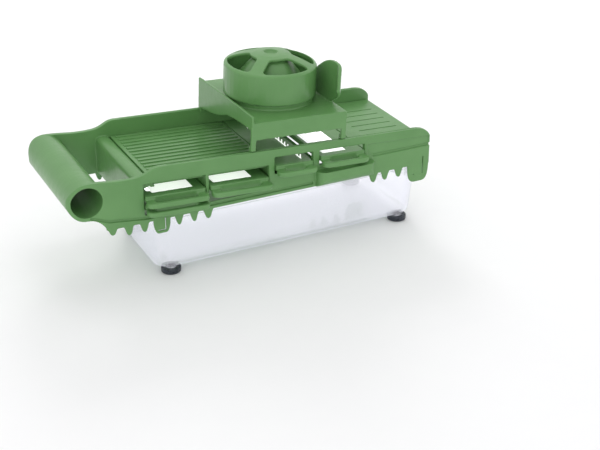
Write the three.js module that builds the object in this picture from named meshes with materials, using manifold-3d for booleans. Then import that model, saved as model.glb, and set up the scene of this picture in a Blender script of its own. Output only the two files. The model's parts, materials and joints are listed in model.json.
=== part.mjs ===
// A mandoline slicer on a clear catch container: an inclined frame with a tubular
// handle, a ribbed infeed ramp, five slide-in inserts with finger loops, and a hand
// guard whose knob presses a spiked plunger onto the food.
// Millimetres, +Z up, X along the slicer from the handle to the outfeed end, the
// insert loops towards -Y. The rails, ramp, outfeed deck, inserts and guard are all
// parallel to the deck, which falls slightly towards the outfeed end.
import * as THREE from "three";
import { mergeVertices } from "three/addons/utils/BufferGeometryUtils.js";
import Module from "manifold-3d";

const wasm = await Module();
wasm.setup();

// ---------------------------------------------------------------- driving sizes
const LENGTH = 366; // over the handle tube and the outfeed end
const WIDTH = 127; // over the two side walls
const GAP = 0.3; // between pieces that touch
const SLIDE_GAP = 0.5; // between pieces that slide

// Feet and container
const FOOT_HEIGHT = 5.3;
const FOOT_DIAMETER = 19;
const FOOT_PIN_DIAMETER = 10;
const FOOT_PIN_DEPTH = 2.6;
const FOOT_INSET_X = 17.5; // foot centre in from the container's floor edge
const FOOT_INSET_Y = 8.5;
const CONTAINER_HEIGHT = 56.7; // floor underside to rim
const CONTAINER_WALL = 2;
const CONTAINER_FLOOR = 2.4;
const CONTAINER_RADIUS = 17; // corner radius at the rim
const CONTAINER_EDGE = 6; // rounding between the floor and the walls
const CONTAINER_DRAFT = 4.6; // how far each wall leans in from rim to floor
const RIM_BEAD = 2; // how far the rim stands out of the wall
const RIM_BEAD_HEIGHT = 3;
const RIM_END_GAP = 3.5; // from the rim to the frame's outfeed end
const CONTAINER_LAP = 1.5; // from the middle of the cross wall to the rim

// Frame, with heights measured up from the side walls' straight lower edge, and
// places along it measured from the handle tube's axis
const INCLINE = 2.85; // degrees that the deck falls towards the outfeed end
const RAIL_HEIGHT = 46.9; // rail tops at mid-length
const SIDE_WALL = 4.6;
const SKIRT_WALL = 2.1; // teeth and snap tabs
const TOOTH_DROP = 9; // how far the teeth hang below the lower edge
const FIRST_TOOTH_DROP = 5.7;
const SNAP_TAB_DROP_IN = 13.5; // infeed-end snap tabs
const SNAP_TAB_DROP_OUT = 17.9; // outfeed-end snap tabs
const TUBE_DIAMETER = 35; // handle tube
const TUBE_RISE = 30.5; // its axis above the lower edge
const TUBE_WALL = 3.3;
const HANDLE_CORNER = 9; // plan radius of the frame's corners at the tube
const LOW_WALL_HEIGHT = 44.9; // side walls beside the grip opening
const LOW_WALL_START = 37.5; // from the tube's axis to the level stretch
const RISE_START = 42.5; // where the side walls start to rise to the rails
const RISE_END = 68.5;
const CROSS_WALL_PLACE = 56; // middle of the wall between grip and ramp
const CROSS_WALL = 14;
const NOSE_RUN = 17; // rounded outfeed end of each rail
const NOSE_DROP = 9;
const END_WALL = 2.4;
const GROOVE_HEIGHT = 2.8; // shadow groove along the side walls
const GROOVE_DEPTH = 1.8;
const GROOVE_IN_HEIGHT = 4.4; // its middle below the insert bays
const GROOVE_OUT_HEIGHT = 19.9; // its middle below the outfeed deck
const BAND_DEPTH = 1; // recessed band over that groove
const BAND_DROP = 9; // its upper edge below the rail tops
const FLOOR_PLATE = 2.4; // floor under the insert bays
const DIVIDER = 2.6;
const LEDGE = 3.4; // insert ledges, out from their wall
const LEDGE_THICKNESS = 2;

// Deck levels below the rail tops
const OUTFEED_DROP = 13.5;
const RAMP_DROP = 16;
const RAMP_THICKNESS = 2.2;
const DECK_THICKNESS = 3;
const RIB_PITCH = 7.6;
const RIB_WIDTH = 3.2;
const RIB_HEIGHT = 0.9;
const OUTFEED_GROOVES = 6;
const OUTFEED_GROOVE_PITCH = 12.5;
const OUTFEED_GROOVE_WIDTH = 1.3;
const OUTFEED_GROOVE_DEPTH = 0.9;
const OUTFEED_GROOVE_SHARE = [0.235, 0.86]; // ends of the grooves along the deck
const OUTFEED_GROOVE_STAGGER = 0.14; // how much shorter the outermost ones are

// Insert bays, each as its near and far end from the handle tube's axis, and the
// inserts in them
const BAY_A_ENDS = [52, 111.5];
const BAY_B_ENDS = [114.5, 174.5];
const BAY_C_ENDS = [180.3, 220.5];
const BAY_D_ENDS = [227, 275.5];
const WINDOW_TOP_STORED = 14.8; // below the rail tops
const WINDOW_TOP_ACTIVE = 7.8;
const WINDOW_FOOT_STORED = 7.4; // window feet above the side walls' lower edge
const WINDOW_FOOT_JULIENNE = 21.6;
const WINDOW_FOOT_SLICING = 21;
const TRAY_THICKNESS = 5;
const TRAY_RIM = 7;
const TRAY_CLEARANCE = 0.9; // tray to bay, each side
const LOOP_REACH = 13; // how far the finger loops stand out of the side wall
const LOOP_STEP = 3; // loops lie this much lower than their trays
const LOOP_FLARE = 1.2; // loop wider than its tray, each side
const LOOP_RIM = 5.2;
const LOOP_SLOT = 6.4;
const LOOP_WALL_GAP = 0.8;
const BLADE_THICKNESS = 1;
const UPPER_TRAY_DROP = 26.7; // tops of the stored trays below the rails
const THIN_TRAY_DROP = 26;
const BULGE_REACH = 10.5; // housing under the slicing insert's loop
const BULGE_HEIGHT = 16.8; // above the side walls' lower edge

// Guard
const GUARD_END_MARGIN = 7; // from the knob to the guard's outfeed end
const KNOB_WING_GAP = 0.5; // from the knob to the guard's infeed wall
const GUARD_PLATE_TOP = 27.5; // above the rail tops
const GUARD_PLATE = 2.6;
const GUARD_WALL = 2.2;
const GUARD_APRON = 16.5; // height of the long walls
const GUARD_EDGE_INSET = 1.2; // guard's long walls in from the frame's outside
const SHOE_LENGTH = 5;
const SHOE_GUIDE = 3; // how far the shoes reach down inside the rails
const SHIELD_HEIGHT = 41; // finger shield above the guard's plate
const SHIELD_BACK = 12; // its back edge, in Y
const SHIELD_FRONT_INSET = 5; // its front edge in from the guard's long wall
const SHIELD_WALL = 3;
const SHIELD_BEND = 20; // plan radius of its front end
const COLLAR_DIAMETER = 83;
const COLLAR_HEIGHT = 5.4;

// Knob and plunger
const KNOB_DIAMETER = 88.4;
const KNOB_PLACE = 204; // from the handle tube, along the deck
const KNOB_WALL = 2.6;
const KNOB_HEIGHT = 28.2; // skirt height
const KNOB_CROWN = 11; // rise of the domed top
const KNOB_RIM = 3.5; // ring outside the finger openings
const KNOB_HUB_DIAMETER = 39; // middle of the dome, inside the openings
const KNOB_DISH_DIAMETER = 13.5; // dimple in the middle
const KNOB_DISH_DEPTH = 2.8;
const SPOKE_WIDTH = 12;
const SPOKE_COUNT = 4;
const SPOKE_PHASE = 45; // degrees from +X to the first spoke
const WELL_BOSS_DIAMETER = 19; // where the finger wells' floor leaves the dome
const WELL_DEPTH = 19; // of the floor at the skirt, below the shoulder
const WELL_WALL = 2;
const SLEEVE_DIAMETER = 66;
const SLEEVE_WALL = 2;
const SLEEVE_FOOT = 8; // above the rail tops
const SPIKE_DISC = 2.6;
const SPIKE_COUNT = 6;
const SPIKE_CIRCLE = 44;
const SPIKE_DIAMETER = 2.4;
const SPIKE_HEAD_DIAMETER = 5;
const SPIKE_HEAD = 1.4;
const SPIKE_LENGTH = 11; // below the disc
const SPIKE_POINT = 4;

const ROUND = 48; // segments of a large circle
const SMALL_ROUND = 20;

// ------------------------------------------------------------------ worked out
const halfLength = LENGTH / 2;
const halfWidth = WIDTH / 2;
const innerHalf = halfWidth - SIDE_WALL;
const tilt = THREE.MathUtils.degToRad(INCLINE);
const tubeX = -halfLength + TUBE_DIAMETER / 2;
const fromTube = (place) => tubeX + place;
const bayA = BAY_A_ENDS.map(fromTube);
const bayB = BAY_B_ENDS.map(fromTube);
const bayC = BAY_C_ENDS.map(fromTube);
const bayD = BAY_D_ENDS.map(fromTube);
const crossWallX = fromTube(CROSS_WALL_PLACE);
const riseStart = fromTube(RISE_START);
const riseEnd = fromTube(RISE_END);
const knobAxis = fromTube(KNOB_PLACE);
// The lower of two stacked trays clears the loop of the upper one.
const lowerTrayDrop = UPPER_TRAY_DROP + TRAY_THICKNESS + LOOP_STEP + GAP;
const rimHalf = innerHalf + 2.2;
const floorUnder = FOOT_HEIGHT + GAP;
const rimTop = floorUnder + CONTAINER_HEIGHT;
const skirtEdge = rimTop + GAP;
const railTop = skirtEdge + RAIL_HEIGHT;
const tubeZ = skirtEdge + TUBE_RISE;
const tubeRadius = TUBE_DIAMETER / 2;
const lowWallTop = skirtEdge + LOW_WALL_HEIGHT;
const toothTip = skirtEdge - TOOTH_DROP;
const bulgeTop = skirtEdge + BULGE_HEIGHT;
const rimEndX = halfLength - RIM_END_GAP;
const rimStartX = crossWallX + CONTAINER_LAP;
const rimHalfX = (rimEndX - rimStartX) / 2;
const containerX = (rimEndX + rimStartX) / 2;
const crossWallEnd = crossWallX + CROSS_WALL / 2;
const railTopAt = (x) => railTop - x * Math.tan(tilt);
// Place along the deck of a point at this X, this far above the rail tops.
const alongDeck = (x, above) => (x - above * Math.sin(tilt)) / Math.cos(tilt);
const deckMatrix = new THREE.Matrix4()
  .makeRotationY(tilt)
  .setPosition(0, 0, railTop);

// ------------------------------------------------------------------- materials
const material = (color, roughness, metalness = 0) =>
  new THREE.MeshStandardMaterial({ color, roughness, metalness });
const greenPlastic = material(0x6f9a68, 0.34);
const clearPlastic = material(0xdfe2ea, 0.08);
const steel = material(0xd9dbdd, 0.18, 1);
const rubber = material(0x23282e, 0.6);

// -------------------------------------------------------------- solid modelling
function toSolid(geometry) {
  const bare = new THREE.BufferGeometry();
  bare.setAttribute("position", geometry.getAttribute("position"));
  if (geometry.index) bare.setIndex(geometry.index);
  const merged = mergeVertices(bare, 1e-4);
  return new wasm.Manifold(
    new wasm.Mesh({
      numProp: 3,
      vertProperties: new Float32Array(merged.attributes.position.array),
      triVerts: new Uint32Array(merged.index.array),
    }),
  );
}

const join = (first, ...rest) =>
  rest.reduce((sum, piece) => sum.add(piece), first);
const cut = (first, ...rest) =>
  rest.reduce((left, piece) => left.subtract(piece), first);

function toGeometry(solid) {
  const { vertProperties, triVerts, numProp } = solid.getMesh();
  const points = new Float32Array((vertProperties.length / numProp) * 3);
  for (let i = 0; i < points.length / 3; i++) {
    points.set(vertProperties.subarray(i * numProp, i * numProp + 3), i * 3);
  }
  const geometry = new THREE.BufferGeometry();
  geometry.setAttribute("position", new THREE.BufferAttribute(points, 3));
  geometry.setIndex(new THREE.BufferAttribute(triVerts, 1));
  geometry.computeVertexNormals();
  return geometry;
}

function boxGeometry([x0, x1], [y0, y1], [z0, z1]) {
  const geometry = new THREE.BoxGeometry(x1 - x0, y1 - y0, z1 - z0);
  return geometry.translate((x0 + x1) / 2, (y0 + y1) / 2, (z0 + z1) / 2);
}
const box = (x, y, z) => toSolid(boxGeometry(x, y, z));
const deckBox = (x, y, z) =>
  toSolid(boxGeometry(x, y, z).applyMatrix4(deckMatrix));

// An outline in X and Z, extruded along Y.
function alongY(shape, [y0, y1], segments = 12) {
  const options = { depth: y1 - y0, bevelEnabled: false, curveSegments: segments };
  const geometry = new THREE.ExtrudeGeometry(shape, options);
  return geometry.rotateX(Math.PI / 2).translate(0, y1, 0);
}

// An outline in Y and Z, extruded along X.
function alongX(shape, [x0, x1], segments = 12) {
  const options = { depth: x1 - x0, bevelEnabled: false, curveSegments: segments };
  const geometry = new THREE.ExtrudeGeometry(shape, options);
  return geometry.rotateX(Math.PI / 2).rotateZ(Math.PI / 2).translate(x0, 0, 0);
}

// An outline in X and Y, extruded along Z.
function alongZ(shape, [z0, z1], segments = 12) {
  const options = { depth: z1 - z0, bevelEnabled: false, curveSegments: segments };
  return new THREE.ExtrudeGeometry(shape, options).translate(0, 0, z0);
}

const polygon = (points) =>
  new THREE.Shape(points.map(([a, b]) => new THREE.Vector2(a, b)));

function circle(x, y, radius) {
  const shape = new THREE.Shape();
  shape.absarc(x, y, radius, 0, 2 * Math.PI, false);
  return shape;
}

function roundedRectangle([x0, x1], [y0, y1], radius) {
  const shape = new THREE.Shape();
  const turn = Math.PI / 2;
  shape.absarc(x1 - radius, y0 + radius, radius, -turn, 0, false);
  shape.absarc(x1 - radius, y1 - radius, radius, 0, turn, false);
  shape.absarc(x0 + radius, y1 - radius, radius, turn, 2 * turn, false);
  shape.absarc(x0 + radius, y0 + radius, radius, 2 * turn, 3 * turn, false);
  shape.closePath();
  return shape;
}

// A body of revolution about Z from [radius, height] pairs, listed bottom to top
// up the outside and back down the inside or the axis.
function turned(profile, segments = ROUND) {
  const points = profile.map(([r, z]) => new THREE.Vector2(r, z));
  return new THREE.LatheGeometry(points, segments).rotateX(Math.PI / 2);
}

const part = new THREE.Group();
const deck = new THREE.Group();
deck.position.z = railTop;
deck.rotation.y = tilt;
part.add(deck);

function addMesh(name, solid, finish, parent = part) {
  const mesh = new THREE.Mesh(toGeometry(solid), finish.clone());
  mesh.name = name;
  parent.add(mesh);
}

// -------------------------------------------------------------- container, feet
// A tray whose walls lean in from the rim to a rounded floor.
function leaningTray(halfX, halfY, radius, edge, lean, [zFloor, zTop]) {
  const outline = roundedRectangle(
    [-halfX + edge, halfX - edge],
    [-halfY + edge, halfY - edge],
    radius - edge,
  );
  const depth = zTop - zFloor;
  const geometry = new THREE.ExtrudeGeometry(outline, {
    depth,
    bevelSize: edge,
    bevelThickness: edge,
    bevelSegments: 4,
    curveSegments: 7,
  });
  geometry.translate(0, 0, zFloor + edge);
  const position = geometry.getAttribute("position");
  for (let i = 0; i < position.count; i++) {
    const share = (zTop - position.getZ(i)) / depth;
    position.setX(i, position.getX(i) * (1 - (share * lean) / halfX));
    position.setY(i, position.getY(i) * (1 - (share * lean) / halfY));
  }
  return geometry.translate(containerX, 0, 0);
}

const footHalfX = rimHalfX - CONTAINER_DRAFT - FOOT_INSET_X;
const footHalfY = rimHalf - CONTAINER_DRAFT - FOOT_INSET_Y;
const feet = [
  ["foot_front_left", containerX - footHalfX, -footHalfY],
  ["foot_front_right", containerX + footHalfX, -footHalfY],
  ["foot_back_left", containerX - footHalfX, footHalfY],
  ["foot_back_right", containerX + footHalfX, footHalfY],
];

function makeContainer() {
  const wallHalfX = rimHalfX - RIM_BEAD;
  const wallHalfY = rimHalf - RIM_BEAD;
  const outside = leaningTray(
    wallHalfX,
    wallHalfY,
    CONTAINER_RADIUS,
    CONTAINER_EDGE,
    CONTAINER_DRAFT,
    [floorUnder, rimTop],
  );
  const inside = leaningTray(
    wallHalfX - CONTAINER_WALL,
    wallHalfY - CONTAINER_WALL,
    CONTAINER_RADIUS - CONTAINER_WALL,
    CONTAINER_EDGE - 1,
    CONTAINER_DRAFT,
    [floorUnder + CONTAINER_FLOOR, rimTop + CONTAINER_EDGE],
  );
  const bead = roundedRectangle(
    [containerX - rimHalfX, containerX + rimHalfX],
    [-rimHalf, rimHalf],
    CONTAINER_RADIUS + RIM_BEAD,
  );
  const beadSolid = toSolid(alongZ(bead, [rimTop - RIM_BEAD_HEIGHT, rimTop], 7));
  const above = box([-LENGTH, LENGTH], [-WIDTH, WIDTH], [rimTop, rimTop + 40]);
  const pins = feet.map(([, x, y]) => {
    const pin = new THREE.CylinderGeometry(
      FOOT_PIN_DIAMETER / 2,
      FOOT_PIN_DIAMETER / 2,
      FOOT_PIN_DEPTH + 1,
      SMALL_ROUND,
    );
    pin.rotateX(Math.PI / 2);
    return toSolid(pin.translate(x, y, floorUnder - FOOT_PIN_DEPTH / 2 + 0.5));
  });
  const body = join(toSolid(outside), beadSolid, ...pins);
  addMesh("container", cut(body, toSolid(inside), above), clearPlastic);
}

function makeFeet() {
  const radius = FOOT_DIAMETER / 2;
  const socket = FOOT_PIN_DIAMETER / 2 + GAP;
  const socketFloor = floorUnder - FOOT_PIN_DEPTH - GAP;
  const profile = [
    [0, 0],
    [radius - 1.2, 0],
    [radius - 0.3, 0.5],
    [radius, 1.4],
    [radius, FOOT_HEIGHT - 0.5],
    [radius - 0.5, FOOT_HEIGHT],
    [socket, FOOT_HEIGHT],
    [socket, socketFloor],
    [0, socketFloor],
  ];
  for (const [name, x, y] of feet) {
    const foot = turned(profile, 28).translate(x, y, 0);
    addMesh(name, toSolid(foot), rubber);
  }
}

// ------------------------------------------------------------------------ frame
function sideOutline() {
  const bottom = tubeZ - tubeRadius;
  const top = tubeZ + tubeRadius;
  const levelX = tubeX + LOW_WALL_START;
  const riseMiddle = riseStart + 0.6 * (riseEnd - riseStart);
  const noseX = halfLength - NOSE_RUN;
  const skirtStart = tubeX + 17;
  const shape = new THREE.Shape();
  shape.moveTo(tubeX, top);
  shape.bezierCurveTo(tubeX + 14, top, tubeX + 24, lowWallTop, levelX, lowWallTop);
  shape.lineTo(riseStart, lowWallTop);
  shape.bezierCurveTo(
    riseMiddle,
    lowWallTop,
    riseMiddle,
    railTopAt(riseEnd),
    riseEnd,
    railTopAt(riseEnd),
  );
  shape.lineTo(noseX, railTopAt(noseX));
  shape.quadraticCurveTo(
    halfLength - 4,
    railTopAt(halfLength - 4),
    halfLength,
    railTopAt(halfLength) - NOSE_DROP,
  );
  shape.lineTo(halfLength, skirtEdge);
  shape.lineTo(skirtStart, skirtEdge);
  shape.bezierCurveTo(skirtStart - 3, skirtEdge + 7, tubeX + 8, bottom, tubeX, bottom);
  shape.absellipse(
    tubeX,
    tubeZ,
    tubeRadius,
    tubeRadius,
    -Math.PI / 2,
    Math.PI / 2,
    true,
    0,
  );
  return shape;
}

function toothShape([x, halfBase, tip]) {
  const root = skirtEdge + 1;
  const shape = new THREE.Shape();
  shape.moveTo(x - halfBase, root);
  shape.bezierCurveTo(x - halfBase * 0.4, root - 1, x - halfBase * 0.6, tip, x, tip);
  shape.bezierCurveTo(
    x + halfBase * 0.6,
    tip,
    x + halfBase * 0.4,
    root - 1,
    x + halfBase,
    root,
  );
  shape.closePath();
  return shape;
}

function tabShape([x, halfBase, tip]) {
  const root = skirtEdge + 1;
  const shape = new THREE.Shape();
  shape.moveTo(x - halfBase, root);
  shape.bezierCurveTo(x - halfBase, tip + 3, x - halfBase + 3, tip, x - 4, tip);
  shape.lineTo(x + 4, tip);
  shape.bezierCurveTo(x + halfBase - 3, tip, x + halfBase, tip + 3, x + halfBase, root);
  shape.closePath();
  return shape;
}

// Teeth along the skirt: middle, half width at the root, lowest point. The last
// three are placed from the outfeed end.
const teeth = [
  [fromTube(21.5), 6, skirtEdge - FIRST_TOOTH_DROP],
  [fromTube(36.7), 6, toothTip],
  [fromTube(51.3), 6, toothTip],
  [fromTube(84.5), 5.5, toothTip],
  [fromTube(99.2), 5.5, toothTip],
  [fromTube(113), 6.5, toothTip],
  [halfLength - 62.4, 6.5, toothTip],
  [halfLength - 49.5, 6, toothTip],
  [halfLength - 34.3, 6, toothTip],
];
const snapTabs = [
  {
    place: [fromTube(67.9), 8.2, skirtEdge - SNAP_TAB_DROP_IN],
    slotTop: skirtEdge + 2,
    slotFoot: 3.4,
    slotHalf: 2.9,
  },
  {
    place: [halfLength - 12.2, 11.8, skirtEdge - SNAP_TAB_DROP_OUT],
    slotTop: skirtEdge + 8,
    slotFoot: 8.5,
    slotHalf: 4.6,
  },
];

// The U-shaped slot that frees a springy tongue in each snap tab.
function tongueSlot({ place: [x, , tip], slotTop, slotFoot, slotHalf }, y) {
  const width = 1;
  const foot = tip + slotFoot;
  const left = box([x - slotHalf - width, x - slotHalf], y, [foot, slotTop]);
  const right = box([x + slotHalf, x + slotHalf + width], y, [foot, slotTop]);
  const across = box([x - slotHalf - width, x + slotHalf + width], y, [foot - width, foot]);
  return join(left, right, across);
}

function sideWall(side) {
  const outer = side * halfWidth;
  const inner = side * innerHalf;
  const skin = side * (halfWidth - SKIRT_WALL);
  const span = (a, b) => [Math.min(a, b), Math.max(a, b)];
  const plate = toSolid(alongY(sideOutline(), span(outer, inner), 10));
  const thin = span(outer, skin);
  const teethSolids = teeth.map((tooth) => toSolid(alongY(toothShape(tooth), thin, 5)));
  const tabSolids = snapTabs.map(({ place }) => toSolid(alongY(tabShape(place), thin, 5)));
  const through = span(outer + side, skin);
  const slots = snapTabs.map((tab) => tongueSlot(tab, through));
  const wall = join(plate, ...teethSolids, ...tabSolids);
  return cut(wall, ...slots, ...shadowGrooves(side));
}

const grooveInZ = skirtEdge + GROOVE_IN_HEIGHT;
const grooveOutZ = skirtEdge + GROOVE_OUT_HEIGHT;

// Shadow grooves on the outside of a side wall.
function shadowGrooves(side) {
  const half = GROOVE_HEIGHT / 2;
  const deep = side * (halfWidth - GROOVE_DEPTH);
  const past = side * (halfWidth + 1);
  const y = [Math.min(deep, past), Math.max(deep, past)];
  const line = [
    [tubeX + 2, tubeZ - tubeRadius + 2.2],
    [tubeX + 19, grooveInZ + 4.2],
    [tubeX + 54, grooveInZ],
    [bayC[1], grooveInZ],
  ];
  const upper = line.map(([x, z]) => [x, z + half]);
  const lower = line.map(([x, z]) => [x, z - half]).reverse();
  const infeed = toSolid(alongY(polygon([...upper, ...lower]), y));
  const outfeed = box(
    [bayD[1] + 9, LENGTH],
    y,
    [grooveOutZ - half, grooveOutZ + half],
  );
  const bandX = [bayD[1] + 3, halfLength - 1.5];
  const band = polygon([
    [bandX[0], grooveOutZ],
    [bandX[1], grooveOutZ],
    [bandX[1], railTopAt(bandX[1]) - BAND_DROP],
    [bandX[0], railTopAt(bandX[0]) - BAND_DROP],
  ]);
  const shallow = side * (halfWidth - BAND_DEPTH);
  const bandY = [Math.min(shallow, past), Math.max(shallow, past)];
  return [infeed, outfeed, toSolid(alongY(band, bandY))];
}

// The opening in the front wall that a bay's inserts slide through.
function bayWindow([x0, x1], footHeight, dropBelowRail) {
  const foot = skirtEdge + footHeight;
  const shape = polygon([
    [x0, foot],
    [x1, foot],
    [x1, railTopAt(x1) - dropBelowRail],
    [x0, railTopAt(x0) - dropBelowRail],
  ]);
  return toSolid(alongY(shape, [-halfWidth - 20, -innerHalf + 0.01]));
}

function handleTube() {
  const tube = circle(tubeX, tubeZ, tubeRadius);
  return toSolid(alongY(tube, [-innerHalf - 1, innerHalf + 1], 24));
}

function tubeBore() {
  const bore = circle(tubeX, tubeZ, tubeRadius - TUBE_WALL);
  return toSolid(alongY(bore, [-WIDTH, WIDTH], 20));
}

function crossWall() {
  const top = railTopAt(crossWallX) - RAMP_DROP + 1;
  const x0 = crossWallX - CROSS_WALL / 2;
  const x1 = crossWallX + CROSS_WALL / 2;
  const shape = new THREE.Shape();
  shape.moveTo(x0, skirtEdge + 1);
  shape.lineTo(x0 + 2.6, skirtEdge + 1);
  shape.lineTo(x0 + 2.6, top - 7);
  shape.lineTo(x1 - 2.6, top - 4);
  shape.lineTo(x1, top - 5);
  shape.bezierCurveTo(x1, top - 1, x1 - 3, top, crossWallX, top);
  shape.bezierCurveTo(x0 + 2, top, x0, top - 2, x0, top - 6);
  shape.closePath();
  return toSolid(alongY(shape, [-innerHalf - 1, innerHalf + 1], 6));
}

// What rounds the two plan corners at the handle end.
function handleCorners() {
  return [-1, 1].map((side) => {
    const y = side * (halfWidth - HANDLE_CORNER);
    const past = side * (halfWidth + 1);
    const corner = box(
      [-halfLength - 1, -halfLength + HANDLE_CORNER],
      [Math.min(y, past), Math.max(y, past)],
      [0, railTop + 20],
    );
    const round = circle(-halfLength + HANDLE_CORNER, y, HANDLE_CORNER);
    return cut(corner, toSolid(alongZ(round, [-1, railTop + 21], 10)));
  });
}

const bayFloorTop = skirtEdge + 1.5 + FLOOR_PLATE;
const deckUnder = -RAMP_DROP - RAMP_THICKNESS - GAP; // supports end here, on the deck
const across = [-innerHalf - 1, innerHalf + 1];
const beamX = (bayC[1] + bayD[0]) / 2;

// Floor and dividers of the insert bays, under the ramp.
function bayStructure() {
  const floor = box(
    [crossWallX - CROSS_WALL / 2 + 0.5, beamX + DIVIDER],
    across,
    [bayFloorTop - FLOOR_PLATE, bayFloorTop],
  );
  const dividers = [
    [(bayA[1] + bayB[0]) / 2, deckUnder],
    [(bayB[1] + bayC[0]) / 2, deckUnder],
    [beamX, -RAMP_DROP - TRAY_THICKNESS - 1.2],
  ].map(([x, topDrop]) => divider(x, topDrop));
  return join(floor, ...dividers);
}

function divider(x, topDrop) {
  const x0 = x - DIVIDER / 2;
  const x1 = x + DIVIDER / 2;
  const shape = polygon([
    [x0, bayFloorTop - 1],
    [x1, bayFloorTop - 1],
    [x1, railTopAt(x1) + topDrop],
    [x0, railTopAt(x0) + topDrop],
  ]);
  return toSolid(alongY(shape, [-innerHalf, innerHalf + 1]));
}

// Ledges under the trays, parallel to the deck.
function ledges() {
  const backLedge = ([x0, x1], drop) =>
    deckBox(
      [x0 + 2, x1 - 2],
      [innerHalf - LEDGE, innerHalf + 1],
      [-drop - TRAY_THICKNESS - SLIDE_GAP - LEDGE_THICKNESS, -drop - TRAY_THICKNESS - SLIDE_GAP],
    );
  const sideLedge = (x0, x1, drop) =>
    deckBox(
      [x0, x1],
      [-innerHalf, innerHalf + 1],
      [-drop - TRAY_THICKNESS - SLIDE_GAP - LEDGE_THICKNESS, -drop - TRAY_THICKNESS - SLIDE_GAP],
    );
  const rampLedge = deckBox(
    [crossWallEnd - 2, crossWallEnd + 2],
    across,
    [-RAMP_DROP - RAMP_THICKNESS - GAP - LEDGE_THICKNESS, -RAMP_DROP - RAMP_THICKNESS - GAP],
  );
  const abWall = (bayA[1] + bayB[0]) / 2;
  const bcWall = (bayB[1] + bayC[0]) / 2;
  return [
    rampLedge,
    backLedge(bayA, UPPER_TRAY_DROP),
    backLedge(bayC, RAMP_DROP),
    backLedge(bayD, OUTFEED_DROP),
    sideLedge(abWall - DIVIDER / 2 - LEDGE, abWall, UPPER_TRAY_DROP),
    sideLedge(abWall, abWall + DIVIDER / 2 + LEDGE, THIN_TRAY_DROP),
    sideLedge(bcWall - DIVIDER / 2 - LEDGE, bcWall, THIN_TRAY_DROP),
    sideLedge(bcWall, bcWall + DIVIDER / 2 + LEDGE, RAMP_DROP),
    sideLedge(beamX - DIVIDER / 2 - LEDGE, beamX, RAMP_DROP),
    sideLedge(beamX - 0.5, beamX + DIVIDER / 2 + LEDGE, OUTFEED_DROP + 0.5),
  ];
}

// The housing that carries the slicing insert's loop.
function loopHousing() {
  const y = -halfWidth;
  const shape = new THREE.Shape();
  shape.moveTo(y + 2, skirtEdge);
  shape.lineTo(y, skirtEdge);
  shape.quadraticCurveTo(y - BULGE_REACH, skirtEdge + 3, y - BULGE_REACH, skirtEdge + 12);
  shape.lineTo(y - BULGE_REACH, bulgeTop);
  shape.lineTo(y + 2, bulgeTop);
  shape.closePath();
  const solid = toSolid(alongX(shape, [bayD[0] - 4, bayD[1] + 8], 6));
  const corners = roundedRectangle(
    [bayD[0] - 4, bayD[1] + 8],
    [y - BULGE_REACH, y + 30],
    8,
  );
  return solid.intersect(toSolid(alongZ(corners, [skirtEdge - 1, bulgeTop + 1], 5)));
}

function endWall() {
  const top = railTopAt(halfLength) - OUTFEED_DROP - DECK_THICKNESS - GAP;
  const wall = box([halfLength - END_WALL, halfLength], across, [skirtEdge, top]);
  const lip = deckBox(
    [halfLength - END_WALL - LEDGE, halfLength - 1],
    across,
    [
      -OUTFEED_DROP - DECK_THICKNESS - GAP - LEDGE_THICKNESS,
      -OUTFEED_DROP - DECK_THICKNESS - GAP,
    ],
  );
  return join(wall, lip);
}

function makeFrame() {
  const windows = [
    bayWindow(bayA, WINDOW_FOOT_STORED, WINDOW_TOP_STORED),
    bayWindow(bayB, WINDOW_FOOT_STORED, WINDOW_TOP_STORED),
    bayWindow(bayC, WINDOW_FOOT_JULIENNE, WINDOW_TOP_ACTIVE),
    bayWindow(bayD, WINDOW_FOOT_SLICING, WINDOW_TOP_ACTIVE),
  ];
  const shell = join(
    sideWall(-1),
    sideWall(1),
    handleTube(),
    crossWall(),
    bayStructure(),
    endWall(),
    loopHousing(),
  );
  const solid = cut(join(shell, ...ledges()), tubeBore(), ...windows, ...handleCorners());
  addMesh("frame", solid, greenPlastic);
}

// ----------------------------------------------------------------- deck surfaces
const plateHalf = innerHalf - SLIDE_GAP;

function makeRamp() {
  const x0 = alongDeck(crossWallEnd + 2 * GAP, -RAMP_DROP);
  const x1 = alongDeck(bayC[0] - GAP, -RAMP_DROP);
  const plate = box([x0, x1], [-plateHalf, plateHalf], [
    -RAMP_DROP - RAMP_THICKNESS,
    -RAMP_DROP,
  ]);
  const count = Math.floor((2 * plateHalf - RIB_WIDTH) / RIB_PITCH);
  const ribs = [];
  for (let i = 0; i <= count; i++) {
    const y = (i - count / 2) * RIB_PITCH;
    ribs.push(
      box(
        [x0 + 4, x1 - 2],
        [y - RIB_WIDTH / 2, y + RIB_WIDTH / 2],
        [-RAMP_DROP - 0.5, -RAMP_DROP + RIB_HEIGHT],
      ),
    );
  }
  addMesh("infeed_ramp", join(plate, ...ribs), greenPlastic, deck);
}

function makeOutfeedDeck() {
  const x0 = bayD[1] + 0.8;
  const x1 = halfLength - 1;
  const top = -OUTFEED_DROP;
  const plate = box([x0, x1], [-plateHalf, plateHalf], [top - DECK_THICKNESS, top]);
  const [start, end] = OUTFEED_GROOVE_SHARE.map((share) => x0 + share * (x1 - x0));
  const outermost = (OUTFEED_GROOVES - 1) / 2;
  const grooves = [];
  for (let i = 0; i < OUTFEED_GROOVES; i++) {
    const row = i - outermost;
    const y = row * OUTFEED_GROOVE_PITCH;
    const stagger = OUTFEED_GROOVE_STAGGER * (row / outermost) ** 2;
    grooves.push(
      box(
        [start + stagger * (end - start), end],
        [y - OUTFEED_GROOVE_WIDTH / 2, y + OUTFEED_GROOVE_WIDTH / 2],
        [top - OUTFEED_GROOVE_DEPTH, top + 1],
      ),
    );
  }
  addMesh("outfeed_deck", cut(plate, ...grooves), greenPlastic, deck);
}

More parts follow.
